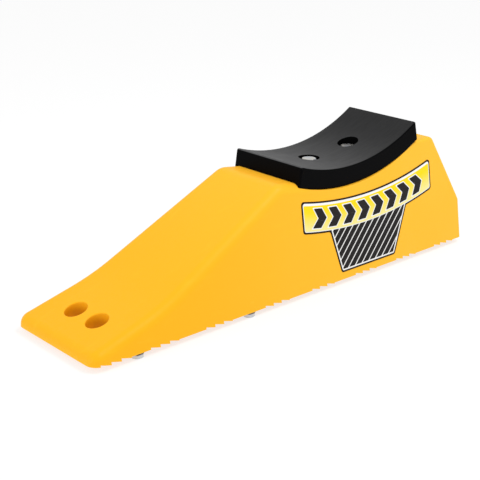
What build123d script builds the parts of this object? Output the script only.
"""Trailer tyre-changing ramp: a ribbed plastic ramp with a bolted cradle block, grip bolts and side labels.

+X runs from the nose up to the high end, +Y is the left side and +Z is up. The origin is the centre of
the bounding box's bottom, level with the undersides of the grip bolt heads.
"""

import math
import os

from build123d import *

# ---- driving dimensions (mm); stations run from the nose, heights from the tooth tips ----
LENGTH = 609.6
BASE_WIDTH = 155.0
SIDE_LEAN = 8.4  # degrees that each side face leans inward
SKIN = 6.0  # thickness of the moulded outer walls

NOSE_HEIGHT = 13.0  # height of the sharp nose edge before rounding
NOSE_SLOPE = 15.6
RAMP_SLOPE = 27.5
SHOULDER = (283.0, 136.7)  # where the ramp meets the deck
DECK_END = (318.0, 131.5)  # deck and ledge lines run on to these points, inside the cradle
LEDGE_START = (520.0, 147.2)
CREST = (560.6, 147.6)  # highest point of the moulding, behind the cradle
KNEE_HEIGHT = 54.2  # top of the upright part of the back
NOSE_CORNER_R = 14.5
RIDGE_R = 13.0
BACK_EDGE_R = 5.0
BEND_R = 280.0
SHOULDER_R = 22.0
DECK_R = 60.0  # eases the two corners that the cradle cuts away
CREST_R = 10.0
KNEE_R = 8.0

CRADLE_CENTRE = (396.0, 377.8)
SADDLE_TOP_R = 238.1
SADDLE_THICKNESS = 25.4
SADDLE_WIDTH = 116.0
SADDLE_FRONT = (311.8, 9.0)  # station of the lower front edge, and lean of the front face
SADDLE_BACK = (527.7, 13.0)
SADDLE_EDGE_R = 2.5

SADDLE_BOLTS = {"front": (386.0, 138.8), "rear": (457.0, 143.0)}  # station, height of the head's top
COUNTERBORE_D = 27.0
BOLT_D = 10.0
BOLT_HOLE_D = 11.0
BOLT_FLATS = 17.0
BOLT_HEAD = 6.4
BOLT_LENGTH = 55.0
WASHER_D = 20.0
WASHER_BORE_D = 10.4
WASHER_T = 2.0
NUT_HEIGHT = 10.0
NUT_COLLAR = 2.4
COLLAR_STEP = 1.2  # how far the collar stands in from the flats, and its edge radius
SADDLE_BOSS_D = 34.0
NUT_STACK = 3.5  # thread left showing past the nut

NOSE_HOLE_STATION = 44.5
NOSE_HOLE_SPACING = 41.0
NOSE_HOLE_D = 26.0
NOSE_HOLE_RIM_R = 1.5
NOSE_BOSS_D = 38.0

TOOTH_PITCH = 12.9
FIRST_TIP = 22.4
TOOTH_DEPTH = 3.4
TEETH_PER_GROUP = 3
GROUP_STARTS = (0, 5, 11, 18, 24, 30, 36, 42)  # tip number of each group's first tooth
BASE_LEVEL = 1.2  # height of the plain lower edge between the groups
TOOTH_BAND = 17.0  # how far in from the side edge the teeth reach

RIB_T = 4.5
RIB_FOOT = 8.0  # the ribs stop this far above the tooth tips
CENTRE_RIBS = 24.0  # distance of the two lengthwise ribs from the middle
CROSS_RIBS = (80, 131, 182, 234, 286, 324, 362, 411.5, 433, 482, 524, 566)

GRIP_BOLTS = {"front": 61.0, "rear": 222.0}
GRIP_INSET = 8.5  # bolt axis to the lower side edge
GRIP_D = 8.0
GRIP_FLATS = 13.0
GRIP_HEAD = 5.3
GRIP_LENGTH = 14.0
GRIP_WASHER_D = 16.0
GRIP_WASHER_BORE_D = 8.4
GRIP_WASHER_T = 1.6
GRIP_BOSS_D = 20.0
INSERT_D = 12.0
INSERT_BORE_D = 8.1
INSERT_LENGTH = 12.0
INSERT_GROOVE = 0.8
TIP_ROOM = 1.0  # hole left above each grip bolt's tip

LABEL_T = 0.4
LABEL_CENTRE = (414.0, 581.5)  # the label's gently curved band is drawn about this point
LABEL_BAND = (479.5, 518.5)
LABEL_ENDS = (312.0, 550.5)
LABEL_PANEL = ((353.0, 505.0), (372.0, 471.0))  # upper and lower ends of the tapered panel
LABEL_FOOT = 10.5
LABEL_CORNER_R = 4.0

HEX_CORNER = 2 / math.sqrt(3)  # width over corners for each unit over flats
HEX_CHAMFER = 0.07
TIP_CHAMFER = 0.1
THREAD_GAP = 0.05  # radial clearance round a shank in its nut or hole
TALL = 200.0  # taller than the whole ramp, for cuts that run right through
BELOW = -1.0  # start of cuts that come up from under the ramp
FLOOR = -20.0  # the moulding is drawn down to here, then cut off level with the tooth tips

# ---- datum planes: all start at the nose, on the centre line, level with the tooth tips ----
TIP_Z = GRIP_HEAD + GRIP_WASHER_T - BASE_LEVEL
NOSE = Vector(-LENGTH / 2, 0, TIP_Z)
SIDE = Plane(NOSE, x_dir=(1, 0, 0), z_dir=(0, -1, 0))
PLAN = Plane(NOSE, x_dir=(1, 0, 0), z_dir=(0, 0, 1))
SECTION = Plane(NOSE, x_dir=(0, 1, 0), z_dir=(1, 0, 0))

half_base = BASE_WIDTH / 2
lean = math.radians(SIDE_LEAN)
RIGHT_FACE = Plane(
    NOSE + Vector(0, -half_base, 0),
    x_dir=(1, 0, 0),
    z_dir=(0, -math.cos(lean), math.sin(lean)),
)

under_r = SADDLE_TOP_R + SADDLE_THICKNESS
lean_run = math.tan(lean)


def ramp_bend():
    """Point where the nose line and the ramp line would cross."""
    nose = math.tan(math.radians(NOSE_SLOPE))
    ramp = math.tan(math.radians(RAMP_SLOPE))
    ramp_start = SHOULDER[1] - ramp * SHOULDER[0]
    station = (NOSE_HEIGHT - ramp_start) / (ramp - nose)
    return (station, NOSE_HEIGHT + nose * station)


def side_profile(floor, inset=0.0):
    """Outline of the ramp seen from the side, without the cradle; inset shrinks it by a wall."""
    with BuildSketch() as profile:
        with BuildLine():
            Polyline(
                (0, floor),
                (0, NOSE_HEIGHT),
                ramp_bend(),
                SHOULDER,
                DECK_END,
                LEDGE_START,
                CREST,
                (LENGTH, KNEE_HEIGHT),
                (LENGTH, floor),
                close=True,
            )
        make_face()
        rounds = {
            ramp_bend(): BEND_R,
            SHOULDER: SHOULDER_R,
            DECK_END: DECK_R,
            LEDGE_START: DECK_R,
            CREST: CREST_R,
            (LENGTH, KNEE_HEIGHT): KNEE_R,
        }
        for corner, radius in rounds.items():
            fillet(profile.vertices().sort_by_distance((*corner, 0))[0], radius)
        if inset:
            offset(amount=-inset, mode=Mode.REPLACE)
    return profile.sketch


def section_trapezoid(floor, inset=0.0):
    """Cross-section of the ramp between its two leaning sides."""
    foot = half_base - inset - lean_run * floor
    head = half_base - inset - lean_run * TALL
    with BuildSketch() as section:
        with BuildLine():
            Polyline((-foot, floor), (foot, floor), (head, TALL), (-head, TALL), close=True)
        make_face()
    return section.sketch


def envelope():
    """The moulding's outer shape with sharp edges and no cradle, still running on down to the floor."""
    with BuildPart() as block:
        with BuildSketch(SIDE):
            add(side_profile(FLOOR))
        extrude(amount=BASE_WIDTH, both=True)
        with BuildSketch(SECTION):
            add(section_trapezoid(FLOOR))
        extrude(amount=LENGTH, mode=Mode.INTERSECT)
    return block.part


def leaning_station(edge, tilt, height):
    """Station of a saddle end face at a height; a positive tilt leans towards the back."""
    edge_height = CRADLE_CENTRE[1] - math.sqrt(under_r**2 - (edge - CRADLE_CENTRE[0]) ** 2)
    return edge + (height - edge_height) * math.tan(math.radians(tilt))


def cradle_zone(upper_r=0.0):
    """Side view of the space over the cradle floor, between the saddle's two end faces."""
    with BuildSketch() as zone:
        with Locations(CRADLE_CENTRE):
            Circle(under_r)
            if upper_r:
                Circle(upper_r, mode=Mode.SUBTRACT)
        with BuildLine():
            Polyline(
                (leaning_station(SADDLE_FRONT[0], SADDLE_FRONT[1], 0), 0),
                (leaning_station(SADDLE_BACK[0], -SADDLE_BACK[1], 0), 0),
                (leaning_station(SADDLE_BACK[0], -SADDLE_BACK[1], TALL), TALL),
                (leaning_station(SADDLE_FRONT[0], SADDLE_FRONT[1], TALL), TALL),
                close=True,
            )
        make_face(mode=Mode.INTERSECT)
    return zone.sketch


def boss_foot(station_and_top):
    """Height of the flat under a saddle bolt's boss, where the lower washer bears."""
    shank_end = station_and_top[1] - BOLT_HEAD - BOLT_LENGTH
    return shank_end + NUT_STACK + NUT_HEIGHT + WASHER_T


def tooth_tips():
    """Stations of all tooth tips."""
    return [
        FIRST_TIP + TOOTH_PITCH * (start + tooth)
        for start in GROUP_STARTS
        for tooth in range(TEETH_PER_GROUP)
    ]


def plain_stretches():
    """Ends of the plain stretches of the lower edge: before, between and after the groups."""
    starts = [FIRST_TIP + TOOTH_PITCH * (start - 1) for start in GROUP_STARTS]
    ends = [start + TOOTH_PITCH * TEETH_PER_GROUP for start in starts]
    return list(zip([0] + ends, starts + [LENGTH]))


def hexagon(seat, flats, height):
    """Hexagon prism that stands on the seat plane, its corners chamfered at the far end."""
    with BuildPart() as prism:
        with BuildSketch(seat):
            Circle(flats * HEX_CORNER / 2)
        extrude(amount=height)
        crown = prism.edges().sort_by(Axis(seat.origin, seat.z_dir))[-1]
        chamfer(crown, flats * HEX_CHAMFER)
        with BuildSketch(seat):
            RegularPolygon(flats / 2, side_count=6, major_radius=False)
        extrude(amount=height, mode=Mode.INTERSECT)
    return prism.part


def hex_bolt(seat, flats, head_height, diameter, length):
    """Hexagon bolt whose head stands on the seat plane and whose shank goes down through it."""
    head = hexagon(seat, flats, head_height)
    with BuildPart() as bolt:
        add(head)
        with BuildSketch(seat):
            Circle(diameter / 2)
        extrude(amount=-length)
        tip = bolt.edges().sort_by(Axis(seat.origin, seat.z_dir))[0]
        chamfer(tip, diameter * TIP_CHAMFER)
    return bolt.part


def washer(seat, diameter, bore, thickness):
    """Flat washer that lies against the underside of the seat plane."""
    with BuildPart() as ring:
        with BuildSketch(seat):
            Circle(diameter / 2)
            Circle(bore / 2, mode=Mode.SUBTRACT)
        extrude(amount=-thickness)
    return ring.part


def lock_nut(seat):
    """Hexagon lock nut that hangs under the seat plane, with a round collar at its lower end."""
    body_height = NUT_HEIGHT - NUT_COLLAR
    hanging = Plane(seat.origin, x_dir=seat.x_dir, z_dir=-seat.z_dir)
    body = hexagon(hanging, BOLT_FLATS, body_height)
    with BuildPart() as nut:
        add(body)
        with BuildSketch(hanging.offset(body_height)):
            Circle(BOLT_FLATS / 2 - COLLAR_STEP)
        extrude(amount=NUT_COLLAR)
        fillet(nut.edges().sort_by(Axis.Z)[0], COLLAR_STEP)
        with BuildSketch(seat):
            Circle(BOLT_D / 2 + THREAD_GAP)
        extrude(amount=-NUT_HEIGHT, mode=Mode.SUBTRACT)
    return nut.part


def threaded_insert(foot):
    """Brass insert with two grooves, pressed up into a boss from the foot plane."""
    groove = INSERT_LENGTH / 5
    with BuildPart() as insert:
        with BuildSketch(foot):
            Circle(INSERT_D / 2)
        extrude(amount=-INSERT_LENGTH)
        for step in (1, 3):
            with BuildSketch(foot.offset(-groove * step)):
                Circle(INSERT_D / 2)
                Circle(INSERT_D / 2 - INSERT_GROOVE, mode=Mode.SUBTRACT)
            extrude(amount=-groove, mode=Mode.SUBTRACT)
        with BuildSketch(foot):
            Circle(INSERT_BORE_D / 2)
        extrude(amount=-INSERT_LENGTH, mode=Mode.SUBTRACT)
    return insert.part


def label_outline():
    """Gently curved band with a tapered panel hanging from it."""
    upper, lower = LABEL_PANEL
    left, right = LABEL_ENDS
    band_middle = LABEL_CENTRE[1] - sum(LABEL_BAND) / 2
    with BuildSketch() as outline:
        with Locations(LABEL_CENTRE):
            Circle(LABEL_BAND[1])
            Circle(LABEL_BAND[0], mode=Mode.SUBTRACT)
        with BuildLine():
            Polyline((left, 0), (right, 0), (right, TALL), (left, TALL), close=True)
        make_face(mode=Mode.INTERSECT)
        with BuildLine():
            Polyline(
                (upper[0], band_middle),
                (lower[0], LABEL_FOOT),
                (lower[1], LABEL_FOOT),
                (upper[1], band_middle),
                close=True,
            )
        make_face()
        fillet(outline.vertices(), LABEL_CORNER_R)
    return outline.sketch


def finish(part, label):
    """Name a piece and write it to its own file."""
    part.label = label
    export_step(part, f"parts/{label}.step")
    print(f"{label:28s} {part.volume / 1000:9.1f} cm3")


grip_places = {
    f"{end}_{side}": (station, sign * (half_base - GRIP_INSET))
    for end, station in GRIP_BOLTS.items()
    for side, sign in (("right", -1), ("left", 1))
}

os.makedirs("parts", exist_ok=True)

# ---- ramp body: the space under the top skin, less its ribs and bosses ----
with BuildPart() as hollow:
    with BuildSketch(SIDE):
        add(side_profile(FLOOR, SKIN))
        with Locations(CRADLE_CENTRE):
            Circle(under_r + SKIN, mode=Mode.SUBTRACT)
    extrude(amount=half_base, both=True)
    with BuildSketch(SECTION):
        add(section_trapezoid(FLOOR, SKIN))
    extrude(amount=LENGTH, mode=Mode.INTERSECT)
    with BuildSketch(PLAN.offset(RIB_FOOT)):
        with Locations((LENGTH / 2, CENTRE_RIBS), (LENGTH / 2, -CENTRE_RIBS)):
            Rectangle(LENGTH, RIB_T)
        for station in CROSS_RIBS:
            with Locations((station, 0)):
                Rectangle(RIB_T, BASE_WIDTH)
    extrude(amount=TALL, mode=Mode.SUBTRACT)
    for place in SADDLE_BOLTS.values():
        with BuildSketch(PLAN.offset(boss_foot(place))):
            with Locations((place[0], 0)):
                Circle(SADDLE_BOSS_D / 2)
        extrude(amount=TALL, mode=Mode.SUBTRACT)
    with BuildSketch(PLAN.offset(BELOW)):
        with Locations(*grip_places.values()):
            Circle(GRIP_BOSS_D / 2)
        with Locations((NOSE_HOLE_STATION, 0)), GridLocations(0, NOSE_HOLE_SPACING, 1, 2):
            Circle(NOSE_BOSS_D / 2)
    extrude(amount=TALL, mode=Mode.SUBTRACT)

# ---- ramp body: teeth cut into the lower edge of each side ----
with BuildPart() as tooth_gaps:
    with BuildSketch(SIDE):
        for left, right in plain_stretches():
            with BuildLine():
                Polyline((left, BELOW), (right, BELOW), (right, BASE_LEVEL), (left, BASE_LEVEL), close=True)
            make_face()
        for tip in tooth_tips():
            root = tip - TOOTH_PITCH
            with BuildLine():
                Polyline((root, BELOW), (tip, BELOW), (tip, 0), (root, TOOTH_DEPTH), close=True)
            make_face()
    extrude(amount=half_base, both=True)
    # inboard of the teeth every lower edge is plain
    with BuildSketch(PLAN.offset(BELOW)) as middle:
        with Locations((LENGTH / 2, 0)):
            Rectangle(LENGTH, BASE_WIDTH - 2 * TOOTH_BAND)
    extrude(amount=TALL, mode=Mode.SUBTRACT)
    extrude(middle.sketch, amount=BASE_LEVEL - BELOW)

# ---- ramp body: the moulding itself ----
with BuildPart() as back_half:
    add(envelope())
    back_face = back_half.faces().sort_by(Axis.X)[-1]
    # the round climbs both back corners and runs on over the crest
    fillet(back_face.edges().filter_by(Axis.Y, reverse=True), BACK_EDGE_R)
    split(bisect_by=SECTION.offset(CRADLE_CENTRE[0]), keep=Keep.TOP)

with BuildPart() as ramp_body:
    add(envelope())
    split(bisect_by=SECTION.offset(CRADLE_CENTRE[0]), keep=Keep.BOTTOM)
    nose_face = ramp_body.faces().sort_by(Axis.X)[0]
    fillet(nose_face.edges().filter_by(Axis.Y, reverse=True), NOSE_CORNER_R)
    # the round runs on from the nose's upper edge along both ridges
    nose_face = ramp_body.faces().sort_by(Axis.X)[0]
    fillet(nose_face.edges().sort_by(Axis.Z)[-1], RIDGE_R)
    add(back_half.part)
    split(bisect_by=PLAN, keep=Keep.TOP)
    with BuildSketch(PLAN):
        with Locations((NOSE_HOLE_STATION, 0)), GridLocations(0, NOSE_HOLE_SPACING, 1, 2):
            Circle(NOSE_HOLE_D / 2)
    extrude(amount=TALL, mode=Mode.SUBTRACT)
    fillet(ramp_body.edges(Select.LAST).sort_by(Axis.Z)[-2:], NOSE_HOLE_RIM_R)
    with BuildSketch(SIDE):
        add(cradle_zone())
    extrude(amount=half_base, both=True, mode=Mode.SUBTRACT)
    add(hollow.part, mode=Mode.SUBTRACT)
    add(tooth_gaps.part, mode=Mode.SUBTRACT)
    with BuildSketch(PLAN):
        with Locations(*[(place[0], 0) for place in SADDLE_BOLTS.values()]):
            Circle(BOLT_HOLE_D / 2)
    extrude(amount=TALL, mode=Mode.SUBTRACT)
    with BuildSketch(PLAN.offset(BASE_LEVEL)):
        with Locations(*grip_places.values()):
            Circle(INSERT_D / 2)
    extrude(amount=INSERT_LENGTH, mode=Mode.SUBTRACT)
    with BuildSketch(PLAN.offset(BASE_LEVEL)):
        with Locations(*grip_places.values()):
            Circle(GRIP_D / 2 + THREAD_GAP)
    extrude(amount=GRIP_LENGTH + TIP_ROOM, mode=Mode.SUBTRACT)
finish(ramp_body.part, "ramp_body")

# ---- cradle block that carries the tyre ----
with BuildPart() as saddle:
    with BuildSketch(SIDE):
        add(cradle_zone(SADDLE_TOP_R))
    extrude(amount=SADDLE_WIDTH / 2, both=True)
    fillet(saddle.edges(), SADDLE_EDGE_R)
    for station, head_top in SADDLE_BOLTS.values():
        seat = head_top - BOLT_HEAD - WASHER_T
        with BuildSketch(PLAN.offset(seat)):
            with Locations((station, 0)):
                Circle(COUNTERBORE_D / 2)
        extrude(amount=TALL, mode=Mode.SUBTRACT)
        with BuildSketch(PLAN):
            with Locations((station, 0)):
                Circle(BOLT_HOLE_D / 2)
        extrude(amount=TALL, mode=Mode.SUBTRACT)
finish(saddle.part, "saddle")

# ---- saddle bolts, with a washer under each head and a washer and lock nut under each boss ----
for end, (station, head_top) in SADDLE_BOLTS.items():
    head_seat = PLAN.offset(head_top - BOLT_HEAD).move(Location((station, 0, 0)))
    boss_seat = PLAN.offset(boss_foot((station, head_top))).move(Location((station, 0, 0)))
    bolt = hex_bolt(head_seat, BOLT_FLATS, BOLT_HEAD, BOLT_D, BOLT_LENGTH)
    finish(bolt, f"saddle_bolt_{end}")
    finish(washer(head_seat, WASHER_D, WASHER_BORE_D, WASHER_T), f"bolt_washer_{end}")
    finish(washer(boss_seat, WASHER_D, WASHER_BORE_D, WASHER_T), f"nut_washer_{end}")
    finish(lock_nut(boss_seat.offset(-WASHER_T)), f"lock_nut_{end}")

# ---- grip bolts under the ramp, each with a washer and a brass insert ----
for place, (station, across) in grip_places.items():
    foot = Plane(NOSE + Vector(station, across, BASE_LEVEL), x_dir=(1, 0, 0), z_dir=(0, 0, -1))
    head_seat = foot.offset(GRIP_WASHER_T)
    bolt = hex_bolt(head_seat, GRIP_FLATS, GRIP_HEAD, GRIP_D, GRIP_LENGTH + GRIP_WASHER_T)
    finish(bolt, f"grip_bolt_{place}")
    finish(washer(head_seat, GRIP_WASHER_D, GRIP_WASHER_BORE_D, GRIP_WASHER_T), f"grip_washer_{place}")
    finish(threaded_insert(foot), f"grip_insert_{place}")

# ---- adhesive labels, one on each side ----
with BuildPart() as label_right:
    with BuildSketch(RIGHT_FACE):
        add(label_outline())
    extrude(amount=LABEL_T)
finish(label_right.part, "label_right")

with BuildPart() as label_left:
    mirror(label_right.part, about=Plane.XZ)
finish(label_left.part, "label_left")
